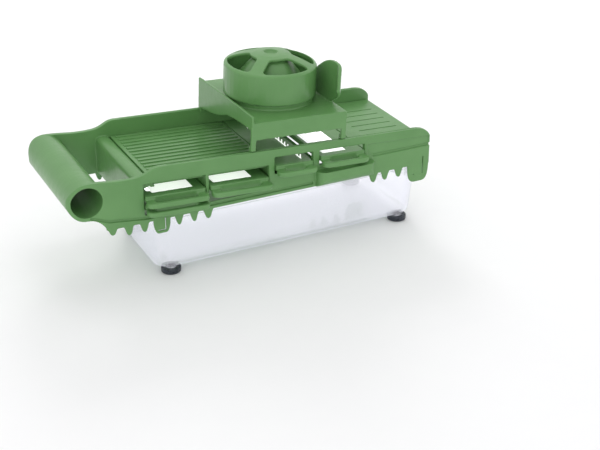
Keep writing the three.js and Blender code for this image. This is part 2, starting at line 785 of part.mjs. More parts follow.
// ----------------------------------------------------------------------- inserts
// A tray outline: a rectangle inside its bay with a rounded finger loop in front.
function trayBody(bay, top) {
  const x0 = alongDeck(bay[0] + TRAY_CLEARANCE, top);
  const x1 = alongDeck(bay[1] - TRAY_CLEARANCE, top);
  const back = innerHalf - SLIDE_GAP;
  const neck = -halfWidth - LOOP_WALL_GAP;
  const front = -halfWidth - LOOP_REACH;
  const z = [top - TRAY_THICKNESS, top];
  const plate = box([x0, x1], [neck - 1, back], z);
  const loop = roundedRectangle(
    [x0 - LOOP_FLARE, x1 + LOOP_FLARE],
    [front, neck],
    (neck - front) / 2 - 0.1,
  );
  const slot = roundedRectangle(
    [x0 + LOOP_RIM + 3, x1 - LOOP_RIM - 3],
    [front + LOOP_RIM, front + LOOP_RIM + LOOP_SLOT],
    LOOP_SLOT / 2 - 0.1,
  );
  const low = [z[0] - LOOP_STEP, z[1] - LOOP_STEP];
  const slotSolid = toSolid(alongZ(slot, [low[0] - 1, z[1] + 1], 6));
  return cut(join(plate, toSolid(alongZ(loop, low, 6))), slotSolid);
}

// The hole through the middle of a tray, under its blade.
const trayHole = ([x0, x1], top) =>
  box([x0, x1], [-innerHalf + TRAY_RIM, innerHalf - TRAY_RIM], [top - 20, top + 20]);

// A tray with a flat steel blade let into its top.
function makeBladeInsert({ name, bay, drop, blade, throat }) {
  const top = -drop;
  const bladeTop = top;
  const reach = innerHalf - 2.5;
  const pocket = box(
    [blade[0] - GAP, blade[1] + GAP],
    [-reach - GAP, reach + GAP],
    [bladeTop - BLADE_THICKNESS - GAP, top + 1],
  );
  const tray = cut(trayBody(bay, top), trayHole(throat, top), pocket);
  addMesh(name + "_tray", tray, greenPlastic, deck);
  const edge = 2.4;
  const outline = polygon([
    [blade[0] + edge, bladeTop],
    [blade[0], bladeTop - BLADE_THICKNESS],
    [blade[1], bladeTop - BLADE_THICKNESS],
    [blade[1], bladeTop],
  ]);
  const plate = toSolid(alongY(outline, [-reach, reach]));
  addMesh(name + "_blade", plate, steel, deck);
}

// The julienne insert: a tray level with the ramp, and a steel comb standing in it.
function makeCombInsert() {
  const top = -RAMP_DROP;
  const combX = bayC[1] - 8;
  const reach = innerHalf - 3.5;
  const slot = box(
    [combX - 0.5 - GAP, combX + 0.5 + GAP],
    [-reach - GAP, reach + GAP],
    [top - 3 - GAP, top + 1],
  );
  addMesh("julienne_tray", cut(trayBody(bayC, top), slot), greenPlastic, deck);
  const teethCount = 16;
  const pitch = (2 * reach - 4) / teethCount;
  const shape = new THREE.Shape();
  shape.moveTo(-reach, top - 3);
  shape.lineTo(reach, top - 3);
  shape.lineTo(reach, top - 0.2);
  for (let i = teethCount; i >= 0; i--) {
    const y = -reach + 2 + i * pitch;
    shape.lineTo(y + 0.7, top - 0.2);
    shape.lineTo(y + 0.5, top + 3);
    shape.lineTo(y - 0.5, top + 3);
    shape.lineTo(y - 0.7, top - 0.2);
  }
  shape.lineTo(-reach, top - 0.2);
  shape.closePath();
  const comb = toSolid(alongX(shape, [combX - 0.5, combX + 0.5]));
  addMesh("julienne_comb", comb, steel, deck);
}

function makeInserts() {
  makeBladeInsert({
    name: "slicing",
    bay: bayD,
    drop: OUTFEED_DROP,
    blade: [bayD[0] + 8, bayD[0] + 32],
    throat: [bayD[0] + 5.5, bayD[0] + 26],
  });
  makeBladeInsert({
    name: "thick_slicing",
    bay: bayA,
    drop: UPPER_TRAY_DROP,
    blade: [bayA[0] + 11.5, bayA[0] + 50],
    throat: [bayA[0] + 8, bayA[0] + 40],
  });
  makeBladeInsert({
    name: "grating",
    bay: bayA,
    drop: lowerTrayDrop,
    blade: [bayA[0] + 11.5, bayA[0] + 50],
    throat: [bayA[0] + 8, bayA[0] + 40],
  });
  makeBladeInsert({
    name: "thin_slicing",
    bay: bayB,
    drop: THIN_TRAY_DROP,
    blade: [bayB[0] + 8.5, bayB[0] + 46],
    throat: [bayB[0] + 6, bayB[0] + 40],
  });
  makeCombInsert();
}

// ------------------------------------------------------------------------- guard
const guardStart = knobAxis - KNOB_DIAMETER / 2 - KNOB_WING_GAP - GUARD_WALL;
const guardEnd = knobAxis + KNOB_DIAMETER / 2 + GUARD_END_MARGIN;
const guardHalf = halfWidth - GUARD_EDGE_INSET;
const guardX = [guardStart, guardEnd];

// The wall across the guard's infeed end, tall at the back.
function guardWing() {
  const top = GUARD_PLATE_TOP;
  const shape = new THREE.Shape();
  shape.moveTo(-guardHalf, top - 6.5);
  shape.lineTo(-guardHalf, top + 7);
  shape.bezierCurveTo(-20, top + 7, 30, top + 6, guardHalf, top + 4);
  shape.lineTo(guardHalf, 3);
  shape.quadraticCurveTo(guardHalf, 1.5, guardHalf - 5, 1.5);
  shape.bezierCurveTo(30, 5, 10, 9, -6, top - 11);
  shape.quadraticCurveTo(-30, top - 7, -guardHalf, top - 6.5);
  shape.closePath();
  return toSolid(alongX(shape, [guardStart, guardStart + GUARD_WALL], 8));
}

// The upright tab at the outfeed end that keeps fingers behind the knob's side: a
// sheet that bends round the knob at its front end, with a rounded top.
function fingerShield() {
  const foot = GUARD_PLATE_TOP - 1;
  const top = GUARD_PLATE_TOP + SHIELD_HEIGHT;
  const front = -guardHalf + SHIELD_FRONT_INSET;
  const back = SHIELD_BACK;
  const face = new THREE.Shape();
  face.moveTo(front + 27, foot);
  face.bezierCurveTo(front + 12, foot + 8, front - 1, foot + 16, front, top - 16);
  face.bezierCurveTo(front, top - 4, front + 8, top, front + 20, top);
  face.bezierCurveTo(front + 34, top, front + 48, top - 9, back - 8, top - 22);
  face.bezierCurveTo(back - 2, top - 30, back, top - 36, back, foot);
  face.closePath();
  const bendX = guardEnd - SHIELD_BEND;
  const bendY = front + SHIELD_BEND * 0.77;
  const sweep = 0.8;
  const inner = SHIELD_BEND - SHIELD_WALL;
  const plan = new THREE.Shape();
  plan.moveTo(guardEnd, back + 1);
  plan.lineTo(guardEnd - SHIELD_WALL, back + 1);
  plan.lineTo(guardEnd - SHIELD_WALL, bendY);
  plan.absarc(bendX, bendY, inner, 0, -sweep, true);
  plan.absarc(bendX, bendY, SHIELD_BEND, -sweep, 0, false);
  plan.closePath();
  const sheet = toSolid(alongZ(plan, [foot, top + 1], 10));
  return sheet.intersect(toSolid(alongX(face, [guardEnd - 40, guardEnd + 1], 8)));
}

// One of the four shoes that stand on the rails and guide the guard inside them.
function guardShoe(x0, side) {
  const outer = side * guardHalf;
  const inner = side * (innerHalf + 0.6);
  const x = [x0, x0 + SHOE_LENGTH];
  const span = (a, b) => [Math.min(a, b), Math.max(a, b)];
  const post = box(x, span(outer, inner), [GAP, GUARD_PLATE_TOP - 1]);
  const lipInner = side * (innerHalf - SLIDE_GAP - 2);
  const lip = box(x, span(side * (innerHalf - SLIDE_GAP), lipInner), [-SHOE_GUIDE, 4]);
  const bridge = box(x, span(outer, lipInner), [GAP, 4]);
  return join(post, lip, bridge);
}

const boreRadius = SLEEVE_DIAMETER / 2 + SLIDE_GAP;

function makeGuard() {
  const top = GUARD_PLATE_TOP;
  const outline = roundedRectangle(guardX, [-guardHalf, guardHalf], 3);
  const plate = toSolid(alongZ(outline, [top - GUARD_PLATE, top], 4));
  const aprons = [-1, 1].map((side) => {
    const a = side * guardHalf;
    const b = side * (guardHalf - GUARD_WALL);
    return box(guardX, [Math.min(a, b), Math.max(a, b)], [top - GUARD_APRON, top - 1]);
  });
  const shoes = [-1, 1].flatMap((side) => [
    guardShoe(guardStart, side),
    guardShoe(guardEnd - SHOE_LENGTH, side),
  ]);
  const collarRadius = COLLAR_DIAMETER / 2;
  const collarTop = top + COLLAR_HEIGHT;
  const collar = turned([
    [boreRadius - 1, top - 1],
    [collarRadius + 1.2, top - 1],
    [collarRadius, top + 1.2],
    [collarRadius, collarTop - 0.8],
    [collarRadius - 0.8, collarTop],
    [boreRadius - 1, collarTop],
    [boreRadius - 1, top - 1],
  ]).translate(knobAxis, 0, 0);
  const bore = new THREE.CylinderGeometry(boreRadius, boreRadius, 80, ROUND);
  bore.rotateX(Math.PI / 2).translate(knobAxis, 0, top);
  const body = join(plate, ...aprons, ...shoes, guardWing(), toSolid(collar));
  addMesh("guard", join(cut(body, toSolid(bore)), fingerShield()), greenPlastic, deck);
}

// ----------------------------------------------------------------- knob, plunger
const knobFoot = GUARD_PLATE_TOP + COLLAR_HEIGHT + GAP;
const knobShoulder = knobFoot + KNOB_HEIGHT;
const knobRadius = KNOB_DIAMETER / 2;
const crownAt = (radius) =>
  knobShoulder + KNOB_CROWN * (1 - (radius / knobRadius) ** 2);

function knobShell() {
  const outside = [];
  const inside = [];
  const steps = 6;
  const edge = knobRadius - 1.6;
  for (let i = 0; i <= steps; i++) {
    const radius = (edge * (steps - i)) / steps;
    outside.push([radius, crownAt(radius)]);
    inside.unshift([Math.min(radius, edge - KNOB_WALL), crownAt(radius) - KNOB_WALL]);
  }
  return turned([
    [knobRadius - KNOB_WALL, knobFoot],
    [knobRadius, knobFoot],
    [knobRadius, knobShoulder - 1],
    [knobRadius - 0.5, knobShoulder - 0.2],
    ...outside,
    ...inside,
    [knobRadius - KNOB_WALL, knobShoulder - KNOB_WALL - 0.6],
    [knobRadius - KNOB_WALL, knobFoot],
  ]);
}

// Height of the upper face of the finger wells' floor, which falls from a boss under
// the middle of the dome to the skirt.
const wellBoss = WELL_BOSS_DIAMETER / 2;
const wellTop = crownAt(wellBoss) - KNOB_WALL;
const wellFoot = knobShoulder - WELL_DEPTH;
function wellFloorAt(radius) {
  const share = THREE.MathUtils.smoothstep(radius, wellBoss, knobRadius - KNOB_WALL);
  return wellTop + (wellFoot - wellTop) * share;
}

function wellFloor() {
  const steps = 8;
  const upper = [];
  const lower = [];
  for (let i = 0; i <= steps; i++) {
    const radius = wellBoss + ((knobRadius - KNOB_WALL + 0.5 - wellBoss) * i) / steps;
    upper.unshift([radius, wellFloorAt(radius)]);
    lower.push([radius, wellFloorAt(radius) - WELL_WALL]);
  }
  const floor = turned([...lower, ...upper, lower[0]]);
  const bossFoot = wellTop - WELL_WALL;
  const boss = turned([
    [0, bossFoot],
    [wellBoss + 0.2, bossFoot],
    [wellBoss + 0.2, wellTop + 1],
    [0, wellTop + 1],
  ]);
  return join(toSolid(floor), toSolid(boss));
}

// One of the finger openings between two spokes, with rounded corners.
function fingerOpening(index) {
  const step = (2 * Math.PI) / SPOKE_COUNT;
  const start = THREE.MathUtils.degToRad(SPOKE_PHASE) + index * step;
  const outer = knobRadius - KNOB_RIM;
  const inner = KNOB_HUB_DIAMETER / 2;
  const half = SPOKE_WIDTH / 2;
  const round = 4;
  const at = (radius, angle) => [radius * Math.cos(angle), radius * Math.sin(angle)];
  const skip = (radius, extra = 0) => Math.asin((half + extra) / radius);
  const end = start + step;
  const shape = new THREE.Shape();
  shape.absarc(0, 0, outer, start + skip(outer, round), end - skip(outer, round), false);
  shape.quadraticCurveTo(
    ...at(outer, end - skip(outer, 1)),
    ...at(outer - round, end - skip(outer - round)),
  );
  shape.lineTo(...at(inner + round, end - skip(inner + round)));
  shape.quadraticCurveTo(
    ...at(inner, end - skip(inner)),
    ...at(inner, end - skip(inner, round)),
  );
  shape.absarc(0, 0, inner, end - skip(inner, round), start + skip(inner, round), true);
  shape.quadraticCurveTo(
    ...at(inner, start + skip(inner)),
    ...at(inner + round, start + skip(inner + round)),
  );
  shape.lineTo(...at(outer - round, start + skip(outer - round)));
  shape.quadraticCurveTo(
    ...at(outer, start + skip(outer, 1)),
    ...at(outer, start + skip(outer, round)),
  );
  return toSolid(alongZ(shape, [knobFoot + 10, knobShoulder + 20], 6));
}

function makeKnob() {
  const dishRadius = KNOB_DISH_DIAMETER / 2;
  const dishTop = crownAt(0);
  const dish = turned(
    [
      [0, dishTop - KNOB_DISH_DEPTH],
      [dishRadius - 1.5, dishTop - KNOB_DISH_DEPTH + 0.3],
      [dishRadius, dishTop - 0.6],
      [dishRadius, dishTop + 3],
      [0, dishTop + 3],
    ],
    28,
  );
  const openings = [];
  for (let i = 0; i < SPOKE_COUNT; i++) {
    openings.push(fingerOpening(i));
  }
  const shell = join(cut(toSolid(knobShell()), ...openings), wellFloor());
  const knob = toGeometry(cut(shell, toSolid(dish)));
  addMesh("knob_cap", toSolid(knob.translate(knobAxis, 0, 0)), greenPlastic, deck);
}

const discFoot = SLEEVE_FOOT;
const discTop = discFoot + SPIKE_DISC;

function makeSleeve() {
  const radius = SLEEVE_DIAMETER / 2;
  const top = wellFloorAt(radius) - WELL_WALL - 2 * GAP;
  const sleeve = turned([
    [radius - SLEEVE_WALL, discTop + GAP],
    [radius, discTop + GAP],
    [radius, top],
    [radius - SLEEVE_WALL, top],
    [radius - SLEEVE_WALL, discTop + GAP],
  ]);
  addMesh("plunger_sleeve", toSolid(sleeve.translate(knobAxis, 0, 0)), greenPlastic, deck);
}

const spikePlaces = [];
for (let i = 0; i < SPIKE_COUNT; i++) {
  const angle = (2 * Math.PI * i) / SPIKE_COUNT;
  const radius = SPIKE_CIRCLE / 2;
  spikePlaces.push([knobAxis + radius * Math.cos(angle), radius * Math.sin(angle)]);
}

function makeSpikeDisc() {
  const disc = new THREE.CylinderGeometry(
    SLEEVE_DIAMETER / 2,
    SLEEVE_DIAMETER / 2,
    SPIKE_DISC,
    ROUND,
  );
  disc.rotateX(Math.PI / 2).translate(knobAxis, 0, (discFoot + discTop) / 2);
  const holeRadius = SPIKE_DIAMETER / 2 + GAP;
  const holes = spikePlaces.map(([x, y]) => {
    const hole = new THREE.CylinderGeometry(holeRadius, holeRadius, 20, SMALL_ROUND);
    return toSolid(hole.rotateX(Math.PI / 2).translate(x, y, discTop));
  });
  addMesh("spike_disc", cut(toSolid(disc), ...holes), greenPlastic, deck);
}

function makeSpikes() {
  const radius = SPIKE_DIAMETER / 2;
  const tip = discFoot - SPIKE_LENGTH;
  const headFoot = discTop + GAP;
  const headRadius = SPIKE_HEAD_DIAMETER / 2;
  spikePlaces.forEach(([x, y], i) => {
    const spike = turned(
      [
        [0, tip],
        [radius, tip + SPIKE_POINT],
        [radius, headFoot],
        [headRadius, headFoot],
        [headRadius, headFoot + SPIKE_HEAD],
        [0, headFoot + SPIKE_HEAD],
      ],
      12,
    );
    addMesh("spike_" + (i + 1), toSolid(spike.translate(x, y, 0)), steel, deck);
  });
}

makeContainer();
makeFeet();
makeFrame();
makeRamp();
makeOutfeedDeck();
makeInserts();
makeGuard();
makeKnob();
makeSleeve();
makeSpikeDisc();
makeSpikes();

// The loops stand out in front only, so the part moves back to centre its box.
part.position.y = LOOP_REACH / 2;

export default part;
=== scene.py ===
# A mandoline slicer in sage-green moulded plastic on a clear catch container. Every
# visible piece is a copy of its CAD solid with rounded or bevelled edges.
import json
import math

import bmesh
import bpy
from mathutils import Matrix, Vector


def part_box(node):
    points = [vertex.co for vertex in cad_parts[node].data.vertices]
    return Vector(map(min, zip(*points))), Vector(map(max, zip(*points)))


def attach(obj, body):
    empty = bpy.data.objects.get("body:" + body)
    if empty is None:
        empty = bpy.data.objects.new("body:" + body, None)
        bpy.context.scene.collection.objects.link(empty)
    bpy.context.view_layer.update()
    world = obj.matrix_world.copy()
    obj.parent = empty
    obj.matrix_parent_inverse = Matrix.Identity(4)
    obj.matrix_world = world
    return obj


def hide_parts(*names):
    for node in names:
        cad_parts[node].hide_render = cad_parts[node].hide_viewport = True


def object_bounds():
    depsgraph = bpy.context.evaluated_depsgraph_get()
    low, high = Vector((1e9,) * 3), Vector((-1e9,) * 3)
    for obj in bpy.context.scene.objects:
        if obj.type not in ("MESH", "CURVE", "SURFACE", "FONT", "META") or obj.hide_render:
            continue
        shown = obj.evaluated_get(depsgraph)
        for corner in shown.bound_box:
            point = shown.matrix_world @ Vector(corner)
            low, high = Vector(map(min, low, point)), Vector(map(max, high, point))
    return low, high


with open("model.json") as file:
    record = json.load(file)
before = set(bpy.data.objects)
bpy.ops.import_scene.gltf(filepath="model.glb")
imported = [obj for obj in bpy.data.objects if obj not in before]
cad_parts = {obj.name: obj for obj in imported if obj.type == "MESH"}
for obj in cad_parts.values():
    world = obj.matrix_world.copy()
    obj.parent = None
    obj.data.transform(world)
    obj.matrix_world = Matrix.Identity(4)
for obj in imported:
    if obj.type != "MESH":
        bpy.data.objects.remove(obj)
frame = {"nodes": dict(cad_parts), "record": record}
CAD_LOW, CAD_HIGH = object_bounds()
MM = 0.001

# ---------------------------------------------------------------- named values
LENS = 76.9  # mm
SENSOR = 36  # mm
CAMERA_PLACE = (-0.4505, -1.0314, 0.5771)
CAMERA_YAW = 26.76  # degrees from +Y towards +X
CAMERA_PITCH = 26.81  # degrees below the horizon

GREEN = (0.106, 0.262, 0.080)
GREEN_LIGHT = (0.126, 0.292, 0.096)
CLEAR_FACE = (0.990, 0.988, 0.996)
# painted shade: the tint the clear walls darken to at grazing angles, standing in for refraction
CLEAR_PAINTED_EDGE_SHADE = (0.58, 0.61, 0.70)
CLEAR_FILM = 0.12  # share of milky scatter at each surface, which also carries the painted glow
CLEAR_PAINTED_GLOW = 0.6  # emission glow: painted light that brightens the clear walls, standing in for the white studio
RUBBER = (0.012, 0.016, 0.024)
RUBBER_BLOOM = (0.03, 0.036, 0.05)
STEEL = (0.90, 0.91, 0.92)
STEEL_LIGHT = (0.97, 0.975, 0.98)
STEEL_METALLIC = 0.3
STEEL_PAINTED_GLOW = 0.7  # emission glow, a painted reflection that stands in for the white studio the blades mirror
PAPER = (0.905, 0.905, 0.915)
PAPER_LIGHT = (0.92, 0.92, 0.925)

GREEN_ROUGH = (0.30, 0.42)  # roughness runs between the two values
BLADE_ROUGH = (0.16, 0.28)
SPIKE_ROUGH = (0.12, 0.25)
RUBBER_ROUGH = (0.22, 0.42)
GREEN_COAT = 0.12  # both the share and the roughness of the clear coat

WORLD = 0.88  # strength of the even white around
AIM = (0, 0, 0.05)  # what every panel faces
PANELS = [  # name, place, size, watts, mirrored by polished surfaces
    ("back_key", (0.45, 1.35, 0.85), (0.6, 0.6), 9, False),
    ("front_fill", (-0.9, -1.6, 0.6), (1.3, 1.0), 5, False),
    ("top", (0.1, 0.1, 1.6), (1.2, 0.8), 2.5, True),
]
FLOOR_REACH = 12
FLOOR_DROP = 0.05 * MM

RAIL_NOSE = 12 * MM  # where the line along the rail ends
GROOVE_PLACE = 2.0 * MM  # middle of that line, out from the deck's edge
GROOVE_WIDTH = 1.1 * MM
GROOVE_DEPTH = 0.9 * MM

PLATE_BEVEL = 0.25 * MM
BLADE_BEVEL = 0.12 * MM
SPIKE_BEVEL = 0.1 * MM
CONTAINER_BEVEL = 0.5 * MM
FOOT_BEVEL = 0.35 * MM
WELD = 0.02 * MM  # points closer than this are one
FLAT_ANGLE = 2  # degrees, facets this close become one face
SHARP_ANGLE = 32  # degrees, edges over this get the bevel

FRAME_VOXEL = 0.42 * MM
GUARD_VOXEL = 0.6 * MM
SMALL_VOXEL = 0.5 * MM
LOOP_PLACE = 6 * MM  # in front of the deck, where the finger loops start
LOOP_PASSES = 55  # relaxing steps that round the finger loops
LOOP_BLEND = 3 * MM  # over which the rounding sets in

TRAYS = [
    "slicing_tray",
    "julienne_tray",
    "thick_slicing_tray",
    "grating_tray",
    "thin_slicing_tray",
]
MOULDINGS = [  # nodes, slot, voxel, relaxing passes, share of faces kept
    (["frame"], "frame_plastic", FRAME_VOXEL, 2, 0.16),
    (["guard"], "guard_plastic", GUARD_VOXEL, 3, 0.25),
    (["knob_cap"], "plunger_plastic", SMALL_VOXEL, 4, 0.35),
    (["plunger_sleeve", "spike_disc"], "plunger_plastic", GUARD_VOXEL, 2, 0.3),
    (TRAYS, "insert_plastic", SMALL_VOXEL, 4, 0.25),
]
BODY_OF = {
    node: body
    for body, entry in frame["record"]["behaviour"]["bodies"].items()
    for node in entry
}


# ------------------------------------------------------------------- materials
def new_material(name):
    """An empty node material, with its node maker, link maker and output."""
    material = bpy.data.materials.new(name)
    material.use_nodes = True
    nodes, links = material.node_tree.nodes, material.node_tree.links
    nodes.clear()
    output = nodes.new("ShaderNodeOutputMaterial")
    return material, nodes, links, output


def object_noise(nodes, links, scale, detail=3.0, stretch=(1, 1, 1)):
    """Noise in the object's own space, so that it rides with the piece."""
    place = nodes.new("ShaderNodeTexCoord")
    mapping = nodes.new("ShaderNodeMapping")
    mapping.inputs["Scale"].default_value = stretch
    noise = nodes.new("ShaderNodeTexNoise")
    noise.inputs["Scale"].default_value = scale
    noise.inputs["Detail"].default_value = detail
    links.new(place.outputs["Object"], mapping.inputs["Vector"])
    links.new(mapping.outputs["Vector"], noise.inputs["Vector"])
    return noise.outputs["Fac"]


def ramp(nodes, links, source, low, high, from_low=0.3, from_high=0.7):
    """Maps a noise value to a number between low and high."""
    node = nodes.new("ShaderNodeMapRange")
    node.inputs["From Min"].default_value = from_low
    node.inputs["From Max"].default_value = from_high
    node.inputs["To Min"].default_value = low
    node.inputs["To Max"].default_value = high
    links.new(source, node.inputs["Value"])
    return node.outputs["Result"]


def mix_color(nodes, links, factor, first, second):
    """Blends from the first colour to the second by a factor from 0 to 1."""
    node = nodes.new("ShaderNodeMix")
    node.data_type = "RGBA"
    links.new(factor, node.inputs["Factor"])
    node.inputs["A"].default_value = (*first, 1)
    node.inputs["B"].default_value = (*second, 1)
    return node.outputs["Result"]


def bump(nodes, links, height, strength, distance):
    """Turns a height into a bumped normal."""
    node = nodes.new("ShaderNodeBump")
    node.inputs["Strength"].default_value = strength
    node.inputs["Distance"].default_value = distance
    links.new(height, node.inputs["Height"])
    return node.outputs["Normal"]


def green_plastic(name):
    """Glossy moulded plastic: slow colour drift, a fine satin grain, faint handling marks."""
    material, nodes, links, output = new_material(name)
    shader = nodes.new("ShaderNodeBsdfPrincipled")
    drift = object_noise(nodes, links, 28, 2)
    color = mix_color(nodes, links, ramp(nodes, links, drift, 0, 1), GREEN, GREEN_LIGHT)
    links.new(color, shader.inputs["Base Color"])
    marks = object_noise(nodes, links, 90, 5, (1, 3.5, 1.5))
    links.new(ramp(nodes, links, marks, *GREEN_ROUGH), shader.inputs["Roughness"])
    shader.inputs["IOR"].default_value = 1.5
    shader.inputs["Subsurface Weight"].default_value = 0.04
    shader.inputs["Subsurface Radius"].default_value = (0.002, 0.004, 0.002)
    shader.inputs["Subsurface Scale"].default_value = 1.0
    shader.inputs["Coat Weight"].default_value = GREEN_COAT
    shader.inputs["Coat Roughness"].default_value = GREEN_COAT
    grain = object_noise(nodes, links, 1400, 2)
    links.new(bump(nodes, links, grain, 0.06, 0.0004), shader.inputs["Normal"])
    links.new(shader.outputs["BSDF"], output.inputs["Surface"])
    return material


def clear_plastic():
    """Clear polished styrene: see-through when faced, with glossy edges, painted dark edges that
    stand in for refraction, and a painted glow in its milky film.
    """
    material, nodes, links, output = new_material("clear_styrene_painted_light")
    facing = nodes.new("ShaderNodeLayerWeight")
    facing.inputs["Blend"].default_value = 0.25
    # Painted shade: the see-through tint darkens towards grazing edges, standing in for
    # refraction.
    edge_shaded_tint = mix_color(
        nodes,
        links,
        ramp(nodes, links, facing.outputs["Facing"], 0, 1, 0.55, 1.0),
        CLEAR_FACE,
        CLEAR_PAINTED_EDGE_SHADE,
    )
    clear = nodes.new("ShaderNodeBsdfTransparent")
    links.new(edge_shaded_tint, clear.inputs["Color"])
    gloss = nodes.new("ShaderNodeBsdfGlossy")
    gloss.inputs["Color"].default_value = (0.95, 0.96, 1.0, 1)
    haze = object_noise(nodes, links, 60, 4)
    links.new(ramp(nodes, links, haze, 0.04, 0.10), gloss.inputs["Roughness"])
    film_with_painted_glow = nodes.new("ShaderNodeBsdfPrincipled")
    film_with_painted_glow.inputs["Base Color"].default_value = (0.94, 0.94, 0.98, 1)
    # Painted light: the milky film glows, brightening the clear walls as if lit by the studio.
    film_with_painted_glow.inputs["Emission Color"].default_value = (0.93, 0.93, 1.0, 1)
    film_with_painted_glow.inputs["Emission Strength"].default_value = CLEAR_PAINTED_GLOW
    haze_and_glow = nodes.new("ShaderNodeMixShader")
    haze_and_glow.inputs["Fac"].default_value = CLEAR_FILM
    links.new(clear.outputs["BSDF"], haze_and_glow.inputs[1])
    links.new(film_with_painted_glow.outputs["BSDF"], haze_and_glow.inputs[2])
    fresnel = nodes.new("ShaderNodeFresnel")
    fresnel.inputs["IOR"].default_value = 1.45
    mixed = nodes.new("ShaderNodeMixShader")
    shine = ramp(nodes, links, fresnel.outputs["Fac"], 0.008, 0.42, 0.04, 0.9)
    links.new(shine, mixed.inputs["Fac"])
    links.new(haze_and_glow.outputs["Shader"], mixed.inputs[1])
    links.new(gloss.outputs["BSDF"], mixed.inputs[2])
    links.new(mixed.outputs["Shader"], output.inputs["Surface"])
    return material


def steel_with_painted_glow(name, rough):
    """Ground stainless steel with a faint grain along X; its brightness is partly a painted
    reflection, a white glow that stands in for the white studio.
    """
    material, nodes, links, output = new_material(name)
    shader = nodes.new("ShaderNodeBsdfPrincipled")
    shader.inputs["Metallic"].default_value = STEEL_METALLIC
    # Painted reflection: the steel glows white, standing in for the white studio it mirrors.
    shader.inputs["Emission Color"].default_value = (1, 1, 1, 1)
    shader.inputs["Emission Strength"].default_value = STEEL_PAINTED_GLOW
    grain = object_noise(nodes, links, 500, 3, (0.06, 1, 1))
    color = mix_color(nodes, links, ramp(nodes, links, grain, 0, 1), STEEL, STEEL_LIGHT)
    links.new(color, shader.inputs["Base Color"])
    links.new(ramp(nodes, links, grain, *rough), shader.inputs["Roughness"])
    links.new(bump(nodes, links, grain, 0.03, 0.0002), shader.inputs["Normal"])
    links.new(shader.outputs["BSDF"], output.inputs["Surface"])
    return material


def foot_rubber():
    """Smooth black moulded rubber with a little bloom."""
    material, nodes, links, output = new_material("moulded_rubber")
    shader = nodes.new("ShaderNodeBsdfPrincipled")
    bloom = object_noise(nodes, links, 220, 4)
    color = mix_color(nodes, links, ramp(nodes, links, bloom, 0, 1), RUBBER, RUBBER_BLOOM)
    links.new(color, shader.inputs["Base Color"])
    links.new(ramp(nodes, links, bloom, *RUBBER_ROUGH), shader.inputs["Roughness"])
    grain = object_noise(nodes, links, 2500, 2)
    links.new(bump(nodes, links, grain, 0.1, 0.0003), shader.inputs["Normal"])
    links.new(shader.outputs["BSDF"], output.inputs["Surface"])
    return material


# ---------------------------------------------------------------------- pieces
def apply_modifiers(piece):
    """Bakes the modifiers of a piece into its mesh."""
    graph = bpy.context.evaluated_depsgraph_get()
    made = bpy.data.meshes.new_from_object(piece.evaluated_get(graph))
    piece.modifiers.clear()
    piece.data = made


def copy_of(node, name):
    """A new object with a copy of a CAD node's mesh."""
    mesh = frame["nodes"][node].data.copy()
    mesh.materials.clear()
    piece = bpy.data.objects.new(name, mesh)
    bpy.context.scene.collection.objects.link(piece)
    return piece


def stands_for(piece, nodes, body, material):
    """Takes the place of CAD nodes, rides on their body and gets its material."""
    piece.data.materials.clear()
    piece.data.materials.append(material)
    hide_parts(*nodes)
    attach(piece, body)


def moulded(node, voxel, passes, keep, round_from=None):
    """A CAD solid with the rounded edges of a moulding, as a light even mesh.

    Points in front of round_from (a Y) are relaxed further, to a full round.
    """
    piece = copy_of(node, node + "_moulding")
    if node == "frame":
        cut_rail_grooves(piece)
    remesh = piece.modifiers.new("even", "REMESH")
    remesh.mode = "VOXEL"
    remesh.voxel_size = voxel
    relax(piece, passes)
    if round_from is not None:
        apply_modifiers(piece)
        loop = piece.vertex_groups.new(name="loop")
        for point in piece.data.vertices:
            share = (round_from - point.co.y) / LOOP_BLEND
            if share > 0:
                loop.add([point.index], min(share, 1.0), "REPLACE")
        relax(piece, LOOP_PASSES, "loop")
    lighter = piece.modifiers.new("light", "DECIMATE")
    lighter.ratio = keep
    apply_modifiers(piece)
    smooth_shading(piece)
    return piece


def cut_rail_grooves(piece):
    """The fine line moulded along the inner edge of each rail's top."""
    slide = next(j for j in frame["record"]["behaviour"]["joints"] if j["name"] == "guard_slide")
    along = Vector(slide["axis"])
    ramp_low, ramp_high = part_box("infeed_ramp")
    deck_low, deck_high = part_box("outfeed_deck")
    bpy.context.view_layer.update()
    over = Vector((ramp_low.x + RAIL_NOSE, ramp_low.y - GROOVE_PLACE, 1))
    start = piece.ray_cast(over, Vector((0, 0, -1)))[1]
    length = deck_high.x - ramp_low.x - 2 * RAIL_NOSE
    for edge, side in ((ramp_low.y, -1), (ramp_high.y, 1)):
        work = bmesh.new()
        bmesh.ops.create_cube(work, size=1)
        work.transform(Matrix.Diagonal((length, GROOVE_WIDTH, 2 * GROOVE_DEPTH, 1)))
        mesh = bpy.data.meshes.new("groove_cutter")
        work.to_mesh(mesh)
        work.free()
        cutter = bpy.data.objects.new("groove_cutter", mesh)
        cutter.location = start + along * (length / 2)
        cutter.location.y = edge + side * GROOVE_PLACE
        cutter.rotation_euler.y = math.atan2(-along.z, along.x)
        bpy.context.scene.collection.objects.link(cutter)
        groove = piece.modifiers.new("groove", "BOOLEAN")
        groove.operation = "DIFFERENCE"
        groove.object = cutter
        bpy.context.view_layer.update()
        apply_modifiers(piece)
        bpy.data.objects.remove(cutter)


def relax(piece, passes, group=""):
    """Evens the mesh by a number of smoothing steps, all over or in one group."""
    soft = piece.modifiers.new("soft", "SMOOTH")
    soft.factor = 0.5
    soft.iterations = passes
    soft.vertex_group = group


def smooth_shading(piece):
    """Smooth shading whose flat faces stay flat."""
    for face in piece.data.polygons:
        face.use_smooth = True
    weighted = piece.modifiers.new("flats", "WEIGHTED_NORMAL")
    weighted.weight = 80
    weighted.keep_sharp = False
    apply_modifiers(piece)


